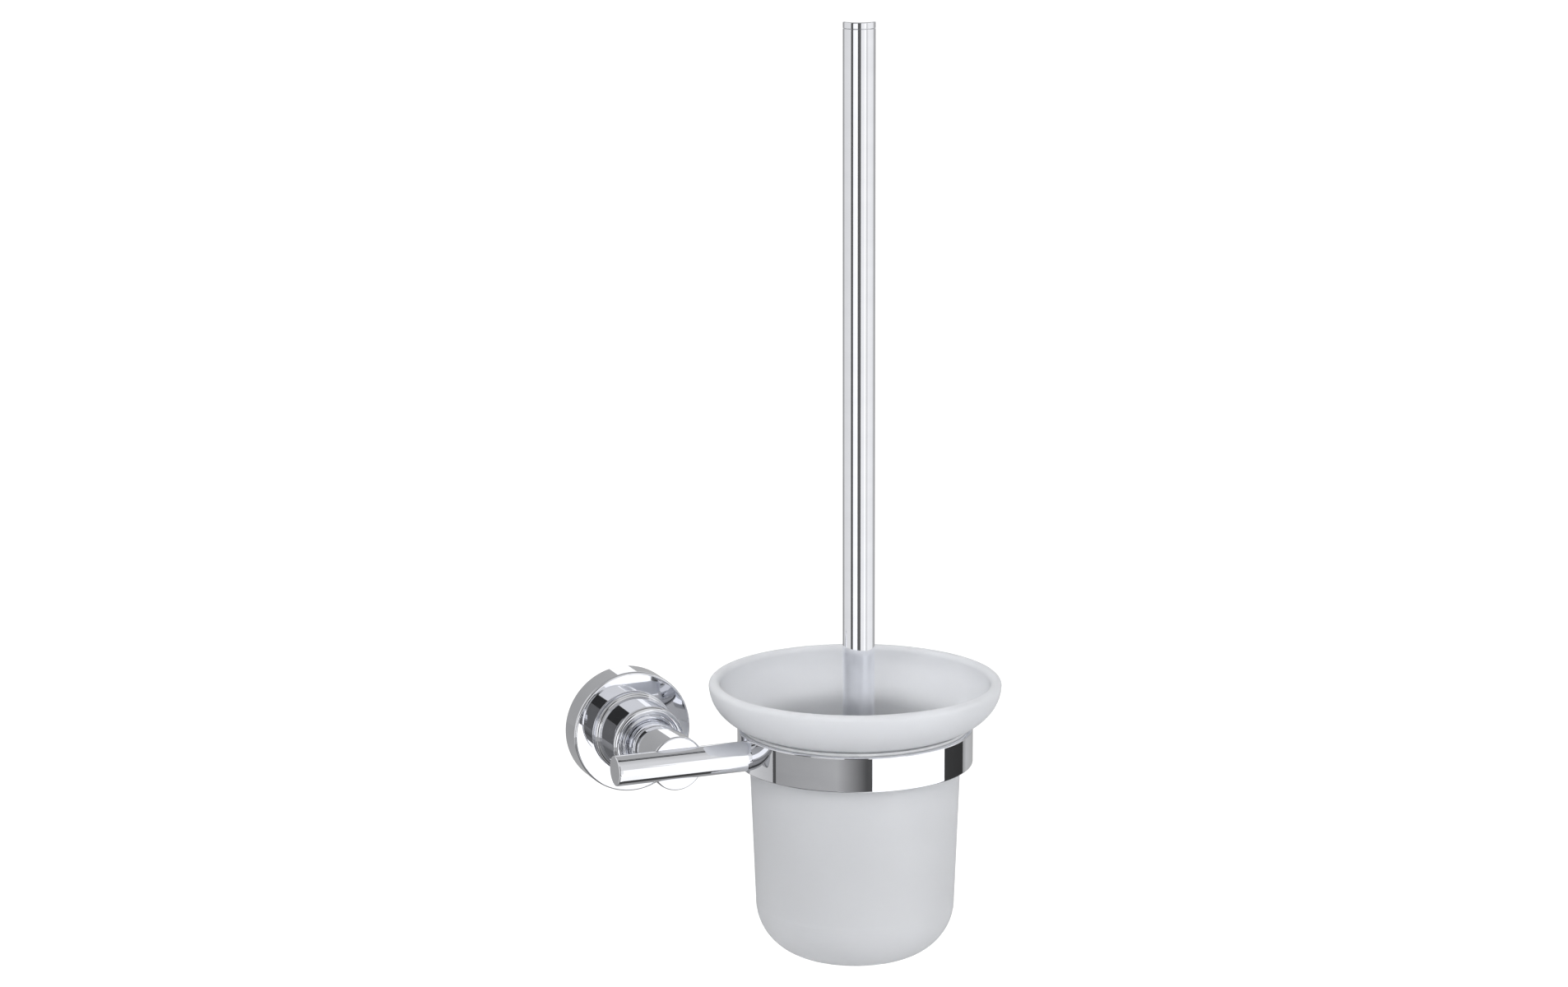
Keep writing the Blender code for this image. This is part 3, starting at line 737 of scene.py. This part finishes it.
def make_drum_stage(chrome):
    """Turned stage: foot bead, tapered wall, rounded front bead and a deep bore for the post."""
    foot, front = out_of_wall("drum")
    foot_r = radius_of("drum")
    bead_r = 15.4 * MM
    bore_r = radius_of("post") + 0.4 * MM
    front_bead = (bead_r - bore_r) / 2
    top_r = bead_r - 0.3 * MM
    foot_bead = 1.1 * MM
    back = foot - 0.25 * MM
    cove_r = 0.7 * MM
    web = 30.2 * MM  # the web at the bottom of the deep bore, which the bolt goes through
    web_back = web - 4.2 * MM
    profile = arc((bore_r + front_bead, front - front_bead), front_bead, 180, 8, 24)
    profile += bezier([
        profile[-1],
        (bead_r + 0.02 * MM, front - front_bead - 0.5 * MM),
        (top_r, front - front_bead - 0.6 * MM),
        (top_r + 0.08 * MM, front - front_bead - 1.6 * MM),
    ], 6)
    wall_foot = (15.6 * MM, foot + 2 * foot_bead + 1.2 * MM)
    profile += [wall_foot]
    profile += arc((wall_foot[0] + cove_r, wall_foot[1] - 0.1 * MM), cove_r, 190, 250, 5)
    profile += arc((foot_r - foot_bead, foot + foot_bead), foot_bead, 72, -90, 14)
    profile += [(foot_r - foot_bead - 0.1 * MM, back)]
    inner_r = bore_r + 0.5 * MM
    profile += [(inner_r, back), (inner_r, web_back), (BOLT_HOLE_R, web_back)]
    profile += [(BOLT_HOLE_R, web), (bore_r, web)]
    drum = turned("drum_stage", profile, 192, turn=FROM_WALL, closed=True)
    place(drum, "holder", "drum", "chrome", chrome)


def make_post_barrel(chrome):
    """Barrel with a coved foot ring, saddled across its front for the rod."""
    foot, front = out_of_wall("post")
    foot_r = radius_of("post")
    barrel_r = 11.1 * MM
    waist_r = 10.6 * MM
    foot_top = foot + 0.9 * MM
    fillet = 0.8 * MM
    cove_r = 1.3 * MM
    foot_edge = 0.45 * MM
    profile = [(BOLT_HOLE_R, front)]
    profile += arc((barrel_r - fillet, front - fillet), fillet, 90, 0, 8)
    profile += bezier([
        (barrel_r, front - fillet), (barrel_r, front - 14 * MM),
        (waist_r + 0.1 * MM, front - 20 * MM), (waist_r, foot_top + 1.6 * MM),
    ], 12)
    profile += arc((waist_r + cove_r, foot_top + cove_r), cove_r, 185, 232, 5)
    profile += arc((foot_r - foot_edge, foot_top - foot_edge), foot_edge, 80, 0, 5)
    profile += [(foot_r, foot - 0.2 * MM), (BOLT_HOLE_R, foot - 0.2 * MM)]
    post = turned("post_barrel", profile, 192, turn=FROM_WALL, closed=True)
    groove = rod_cutter("groove", ROD_R + 0.05 * MM, -20 * MM, 20 * MM, ROD_AXIS, ALONG_X, 192)
    cut(post, groove)
    place(post, "holder", "post", "chrome", chrome)


def make_clamp_bolt(steel):
    """Bolt that clamps cover, drum, post and rod together, with its washer."""
    back, end = out_of_wall("tie_bolt")
    head_r = radius_of("tie_bolt")
    head_top = back + 2.9 * MM
    thread_long = 22 * MM
    pitch = 0.8 * MM
    groove = 0.45 * MM
    socket_r = 2.3 * MM
    profile = rounded(
        [(0, end), (BOLT_R, end, 0.5 * MM), (BOLT_R, end - MM)]
    )
    profile += [(BOLT_R, h) for h in heights(end - 1.1 * MM, end - thread_long, 0.1 * MM)]
    profile += rounded(
        [(BOLT_R, head_top + MM), (BOLT_R, head_top), (head_r, head_top, 0.3 * MM),
         (head_r, back, 0.4 * MM), (0, back)]
    )
    cutting = thread(end - thread_long, end - 0.5 * MM, pitch, groove)
    bolt = turned("clamp_bolt", profile, 48, turn=FROM_WALL, radius_at=cutting)
    cut(bolt, rod_cutter("socket", socket_r, back - MM, back + 1.7 * MM, turn=FROM_WALL, steps=6))
    place(bolt, "holder", "tie_bolt", "steel", steel)
    near, far = out_of_wall("tie_washer")
    washer_r = radius_of("tie_washer")
    corners = [(BOLT_HOLE_R, far, 0.1 * MM), (washer_r, far, 0.2 * MM)]
    corners += [(washer_r, near, 0.2 * MM), (BOLT_HOLE_R, near, 0.1 * MM)]
    washer = turned("clamp_washer", rounded(corners, True), 64, turn=FROM_WALL, closed=True)
    place(washer, "holder", "tie_washer", "steel", steel)


# ---------------------------------------------------------------- rod, ring and liner
def make_cross_rod(chrome):
    """Rod with a flat chamfered left end; its right end is hollowed to sit on the ring."""
    steps = 128
    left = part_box("arm_rod")[0].x
    chamfer = 0.35 * MM
    reach = RING_R - 0.05 * MM
    rings = []
    for share in (0.0, 0.3, 0.6, 0.85):
        rings.append([(left, share * (ROD_R - chamfer))] * steps)
    for radius, drop in [(ROD_R - chamfer, 0.0), (ROD_R - chamfer * 0.3, chamfer * 0.3)]:
        rings.append([(left + drop, radius)] * steps)
    rings.append([(left + chamfer, ROD_R)] * steps)
    for share in (0.02, 0.3, 0.6):
        rings.append([(left + chamfer + share * (CUP_AXIS.x - reach - left), ROD_R)] * steps)
    points = []
    for ring in rings:
        row = []
        for i, (x, radius) in enumerate(ring):
            angle = 2 * math.pi * i / steps
            y = ROD_AXIS.y + radius * math.cos(angle)
            row.append(Vector((x, y, radius * math.sin(angle))))
        points.append(row)
    for radius in (ROD_R, ROD_R * 0.66, ROD_R * 0.33, 0.0):
        row = []
        for i in range(steps):
            angle = 2 * math.pi * i / steps
            aside = radius * math.cos(angle)
            x = CUP_AXIS.x - math.sqrt(reach**2 - aside**2)
            row.append(Vector((x, ROD_AXIS.y + aside, radius * math.sin(angle))))
        points.append(row)
    rod = smooth(new_object("cross_rod", grid_mesh("cross_rod", points, False)))
    place(rod, "holder", "arm_rod", "chrome", chrome)


def make_carrier_ring(chrome):
    """Band with rounded edges, drilled and countersunk from inside for the rod's screw."""
    low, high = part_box("cup_ring")
    wall = 2.8 * MM
    inner = RING_R - wall
    edge = 0.45 * MM
    corners = [(inner, high.z, edge), (RING_R, high.z, edge), (RING_R, low.z, edge)]
    corners += [(inner, low.z, edge)]
    ring = turned("carrier_ring", rounded(corners, True, 5), 256, CUP_AXIS, closed=True)
    outside = CUP_AXIS.x - RING_R
    inside = outside + wall
    sink_r = 5.2 * MM
    sink = 2.2 * MM
    hole = rod_cutter("hole", SHANK_R + 0.2 * MM, outside - MM, inside + MM, ROD_AXIS, ALONG_X)
    seat = [(0, inside + MM), (sink_r, inside + MM), (SHANK_R, inside - sink), (0, inside - sink)]
    cut(ring, hole, turned("countersink", seat, 64, ROD_AXIS, ALONG_X))
    place(ring, "holder", "cup_ring", "chrome", chrome)


def make_rod_screw(steel):
    """Countersunk screw with a hexagon socket, from the ring's inside into the rod."""
    low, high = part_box("ring_screw")
    head_r = radius_of("ring_screw", 2)
    socket_r = 1.4 * MM
    pitch = 0.7 * MM
    groove = 0.4 * MM
    face, tip = high.x, low.x
    profile = [(0, face), (head_r, face), (head_r, face - 0.2 * MM), (SHANK_R, face - 1.9 * MM)]
    profile += [(SHANK_R, h) for h in heights(face - 2.1 * MM, tip + 0.7 * MM, 0.1 * MM)]
    profile += [(SHANK_R - 0.6 * MM, tip), (0, tip)]
    cutting = thread(tip + 0.6 * MM, face - 2.0 * MM, pitch, groove)
    screw = turned("rod_screw", profile, 40, ROD_AXIS, ALONG_X, radius_at=cutting)
    socket = rod_cutter("socket", socket_r, face - 1.1 * MM, face + MM, ROD_AXIS, ALONG_X, 6)
    cut(screw, socket)
    place(screw, "holder", "ring_screw", "steel", steel)


def make_liner_sleeve(plastic):
    """Sleeve between ring and glass; its lip lies on the ring."""
    low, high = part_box("ring_liner")
    ring_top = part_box("cup_ring")[1].z
    lip_r = radius_of("ring_liner")
    outer = 44.9 * MM
    inner = 43.9 * MM
    lip_low = ring_top + 0.02 * MM
    corners = [
        (inner, high.z, 0.7 * MM), (lip_r, high.z, 0.35 * MM), (lip_r, lip_low, 0.2 * MM),
        (outer, lip_low, 0.2 * MM), (outer, low.z, 0.2 * MM), (inner, low.z, 0.2 * MM),
    ]
    sleeve = turned("liner_sleeve", rounded(corners, True), 192, CUP_AXIS, closed=True)
    place(sleeve, "holder", "ring_liner", "liner", plastic)


# ---------------------------------------------------------------- glass
def make_frosted_cup(glass):
    """Blown cup: rounded base, slightly tapered body, neck, shoulder, bowl and lip."""
    low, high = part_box("glass_cup")
    lip_r = 2.3 * MM
    rim_r = radius_of("glass_cup")
    lip = (rim_r - lip_r, high.z - lip_r)
    wall = 3.6 * MM
    corner = 22.0 * MM
    low_r = 40.7 * MM
    neck_r = 43.55 * MM
    neck_top = 7.8 * MM
    shoulder = (45.0 * MM, 8.95 * MM)
    shoulder_r = 0.2 * MM
    floor = low.z + 4.5 * MM
    flat_r = 10 * MM
    inner_corner = corner - wall
    inner_neck = neck_r - wall
    body_low = low.z + corner
    body_step = 9 * MM
    bowl_start = 6.0 * MM

    def body_r(height):
        """Outer radius of the tapered body."""
        share = (height - body_low) / (neck_top - body_low)
        return low_r + (neck_r - low_r) * share

    profile = [(0, floor), (flat_r, floor)]
    profile += arc((low_r - wall - inner_corner, floor + inner_corner), inner_corner, -90, -1, 16)
    inside = heights(body_low + 6 * MM, bowl_start, body_step)
    profile += [(body_r(h) - wall, h) for h in inside]
    profile += bezier([
        (inner_neck, bowl_start), (inner_neck, 13.5 * MM),
        (lip[0] - lip_r - 0.7 * MM, 15.2 * MM), (lip[0] - lip_r, lip[1]),
    ], 24)
    profile += arc(lip, lip_r, 175, 0, 20)
    profile += bezier([
        (rim_r, lip[1]), (rim_r - 0.5 * MM, 16.0 * MM), (51.5 * MM, 10.5 * MM), shoulder,
    ], 24)
    profile += arc((shoulder[0] - shoulder_r, shoulder[1] - 0.05 * MM), shoulder_r, 20, -90, 6)
    profile += [(neck_r + 0.45 * MM, shoulder[1] - 0.27 * MM)]
    profile += [(neck_r + 0.3 * MM, neck_top + 0.2 * MM), (neck_r, neck_top - 0.6 * MM)]
    outside = heights(neck_top - 6 * MM, body_low + 4 * MM, body_step)
    profile += [(body_r(h), h) for h in outside]
    profile += arc((low_r - corner, body_low), corner, 1, -90, 24)
    profile += [(flat_r, low.z), (0, low.z)]
    cup = turned("frosted_cup", profile, 256, CUP_AXIS)
    place(cup, "cup", "glass_cup", "frosted_glass", glass)


# ---------------------------------------------------------------- brush
def make_handle_stem(chrome):
    """Plain tube, open at both ends until the cap and the stud close it."""
    low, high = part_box("handle_tube")
    radius = radius_of("handle_tube")
    wall = 0.9 * MM
    inner = radius - wall
    corners = [(inner, high.z), (radius, high.z, 0.12 * MM), (radius, low.z, 0.3 * MM)]
    corners += [(inner, low.z)]
    stem = turned("handle_stem", rounded(corners, True), 192, BRUSH_AXIS, closed=True)
    place(stem, "brush_handle", "handle_tube", "chrome", chrome)


def make_handle_end_cap(chrome):
    """Flat cap, flush with the tube, whose plug sits inside it."""
    low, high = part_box("handle_cap")
    radius = radius_of("handle_tube")
    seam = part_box("handle_tube")[1].z + 0.12 * MM
    plug_r = radius - 1.2 * MM
    chamfer = 0.45 * MM
    corners = [(0, high.z), (radius, high.z, chamfer), (radius, seam, 0.12 * MM)]
    corners += [(plug_r, seam), (plug_r, low.z, 0.5 * MM), (0, low.z)]
    cap = turned("handle_end_cap", rounded(corners, count=8), 192, BRUSH_AXIS)
    place(cap, "brush_handle", "handle_cap", "chrome", chrome)


def make_handle_stud(steel):
    """Plug in the tube's lower end, with the stud that takes the brush head."""
    low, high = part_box("handle_insert")
    tube_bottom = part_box("handle_tube")[0].z
    plug_r = radius_of("handle_insert")
    stud_r = 3.0 * MM
    pitch = 1.0 * MM
    groove = 0.6 * MM
    profile = rounded(
        [(0, high.z), (plug_r, high.z, 0.4 * MM), (plug_r, tube_bottom + 0.1 * MM, 0.2 * MM),
         (stud_r, tube_bottom + 0.1 * MM)]
    )
    profile += [(stud_r, h) for h in heights(tube_bottom, low.z + 0.7 * MM, 0.125 * MM)]
    profile += [(stud_r - 0.7 * MM, low.z), (0, low.z)]
    cutting = thread(low.z + 0.6 * MM, tube_bottom - 0.3 * MM, pitch, groove)
    stud = turned("handle_stud", profile, 48, BRUSH_AXIS, radius_at=cutting)
    place(stud, "brush_handle", "handle_insert", "steel", steel)


HUB_R = 9.0 * MM
TUFT_ROWS = 14
TUFTS_PER_ROW = 13
FILAMENTS = 26
FILAMENT_R = 0.22 * MM
TUFT_HOLE_R = 1.5 * MM
TUFT_ROOT = 0.8 * MM  # how deep in the core the tufts start
EDGE_CLEAR = 0.3 * MM  # how far the bristles stay inside the CAD outline
SPLAY = (2.4 * MM, 3.4 * MM)  # how far a tuft's outermost bristles spread
TRIM = (0.3 * MM, 1.1 * MM)  # how far short of the outline the bristles are cut
BOW = 0.4 * MM
ROWS_LOW = 12.5 * MM  # the lowest row and the crown, from the bottom of the brush
CROWN_LOW = 12.0 * MM
ROWS_CLEAR = 16 * MM  # height of the brush that the rows leave free at both ends together
CROWN_ROWS = ((0.45, 12), (0.85, 9), (1.2, 5))  # tilt below level in radians, tufts


def make_brush_core(plastic):
    """Moulded core: neck, round body and a blind socket for the stud."""
    low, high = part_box("brush_hub")
    neck_r = 8.0 * MM
    neck_end, body_start = -4.0 * MM, -8.0 * MM
    fillet = 1.5 * MM
    bore = 3.05 * MM
    chamfer = 0.4 * MM
    bore_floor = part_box("handle_insert")[0].z - 1.0 * MM
    profile = [(0, bore_floor), (bore, bore_floor), (bore, high.z - chamfer)]
    profile += rounded(
        [(bore, high.z - chamfer), (bore + chamfer, high.z), (neck_r, high.z, 0.8 * MM),
         (neck_r, neck_end, fillet), (HUB_R, body_start, fillet), (HUB_R, -20.0 * MM)], count=6
    )[1:]
    profile += arc((0, low.z + HUB_R), HUB_R, 0, -90, 16)
    core = turned("brush_core", profile, 96, BRUSH_AXIS)
    place(core, "brush_head", "brush_hub", "hub_plastic", plastic)


def tuft_reach(height, low, high, radius):
    """How far the tufts reach from the core's axis: rounded at the bottom, trimmed at the top."""
    belly = low + 22.0 * MM
    shoulder = high - 7.0 * MM
    if height < belly:
        share = (belly - height) / (belly - low)
        return radius * math.sqrt(max(0.0, 1 - 0.86 * share * share))
    if height > shoulder:
        return radius - 0.5 * (height - shoulder)
    return radius


def add_filament(points, faces, root, end, bow):
    """One three-sided bristle from root to end, bowed a little to the side."""
    along = (end - root).normalized()
    side = along.orthogonal().normalized()
    other = along.cross(side)
    first = len(points)
    shares = (0.0, 0.5, 1.0)
    for share in shares:
        middle = root.lerp(end, share) + bow * (4 * share * (1 - share))
        for k in range(3):
            angle = 2 * math.pi * k / 3
            points.append(middle + (side * math.cos(angle) + other * math.sin(angle)) * FILAMENT_R)
    for level in range(len(shares) - 1):
        for k in range(3):
            a = first + level * 3 + k
            b = first + level * 3 + (k + 1) % 3
            faces.append((a, b, b + 3, a + 3))
    last = first + 3 * (len(shares) - 1)
    faces.append((last, last + 1, last + 2))
    faces.append((first + 2, first + 1, first))


def tilt_share(root, aim, floor, trim, draw):
    """How much of the way to aim a crown bristle goes before it meets the trimmed outline."""
    share = 1.0
    if aim.z < floor + EDGE_CLEAR:
        share = min(share, (root.z - floor - EDGE_CLEAR) / (root.z - aim.z))
    start = math.hypot(root.x - BRUSH_AXIS.x, root.y - BRUSH_AXIS.y)
    end = math.hypot(aim.x - BRUSH_AXIS.x, aim.y - BRUSH_AXIS.y)
    if end > trim:
        share = min(share, (trim - start) / (end - start))
    return share * draw.uniform(0.97, 1.0)


def tuft_places(low, high):
    """Angle, height and tilt of each tuft: level rows, each staggered from the last, and a
    crown on the round end."""
    tufts = []
    pitch = (high.z - low.z - ROWS_CLEAR) / (TUFT_ROWS - 1)
    for row in range(TUFT_ROWS):
        height = low.z + ROWS_LOW + row * pitch
        for i in range(TUFTS_PER_ROW):
            angle = 2 * math.pi * (i + 0.5 * (row % 2)) / TUFTS_PER_ROW
            tufts.append((angle, height, 0.0))
    for tilt, count in CROWN_ROWS:
        for i in range(count):
            tufts.append((2 * math.pi * (i + tilt) / count, low.z + CROWN_LOW, tilt))
    return tufts


def add_tuft(points, faces, tuft, low, high, draw):
    """Bristles that spread from one hole in the core and are trimmed to the brush's outline."""
    angle, height, tilt = tuft
    reach = radius_of("bristles")
    out = Vector((math.cos(angle), math.sin(angle), 0.0)) * math.cos(tilt)
    out.z = -math.sin(tilt)
    side = Vector((-math.sin(angle), math.cos(angle), 0.0))
    up = out.cross(side)
    centre = BRUSH_AXIS + Vector((0, 0, height))
    for _ in range(FILAMENTS):
        turn = draw.uniform(0, 2 * math.pi)
        share = math.sqrt(draw.random())
        aside = side * math.cos(turn) + up * math.sin(turn)
        root = centre + out * (HUB_R - TUFT_ROOT) + aside * TUFT_HOLE_R * share
        aim = centre + out * reach + aside * share * draw.uniform(*SPLAY)
        limit = tuft_reach(max(aim.z, low.z + 0.4 * MM), low.z, high.z, reach)
        trim = limit - draw.uniform(*TRIM)
        if tilt == 0.0:
            flat = Vector((aim.x - BRUSH_AXIS.x, aim.y - BRUSH_AXIS.y)).normalized() * trim
            end = Vector((BRUSH_AXIS.x + flat.x, BRUSH_AXIS.y + flat.y, aim.z))
        else:
            end = root + (aim - root) * tilt_share(root, aim, low.z, trim, draw)
        end.z = min(max(end.z, low.z + EDGE_CLEAR), high.z - EDGE_CLEAR)
        bow = Vector([draw.uniform(-BOW, BOW) for _ in range(3)])
        add_filament(points, faces, root, end, bow)


def make_bristle_tufts(nylon):
    """All the bristles as one piece."""
    draw = random.Random(7)
    low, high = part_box("bristles")
    points = []
    faces = []
    for tuft in tuft_places(low, high):
        add_tuft(points, faces, tuft, low, high, draw)
    mesh = bpy.data.meshes.new("bristle_tufts")
    mesh.from_pydata(points, [], faces)
    mesh.shade_smooth()
    place(new_object("bristle_tufts", mesh), "brush_head", "bristles", "bristle", nylon)


# ---------------------------------------------------------------- build
add_camera()
add_world()
add_floor()
add_tent()
add_soft_lights()

chrome = make_chrome()
plated_steel = make_plated_steel()
cast_zinc = make_cast_zinc()
grey_nylon = make_nylon()

make_backing_plate(cast_zinc)
for screw_place in ("upper", "lower"):
    make_plate_screw(screw_place, plated_steel)
    make_expansion_plug(screw_place, grey_nylon)
make_flange_shell(chrome)
make_locking_grub(plated_steel)
make_drum_stage(chrome)
make_post_barrel(chrome)
make_clamp_bolt(plated_steel)
make_cross_rod(chrome)
make_carrier_ring(chrome)
make_rod_screw(plated_steel)
make_liner_sleeve(make_liner_plastic())
make_frosted_cup(make_frosted_glass())
make_handle_stem(chrome)
make_handle_end_cap(chrome)
make_handle_stud(plated_steel)
make_brush_core(make_hub_plastic())
make_bristle_tufts(make_bristle_nylon())

restrict_soft_lights(["frosted_cup", "liner_sleeve", "brush_core", "bristle_tufts"])
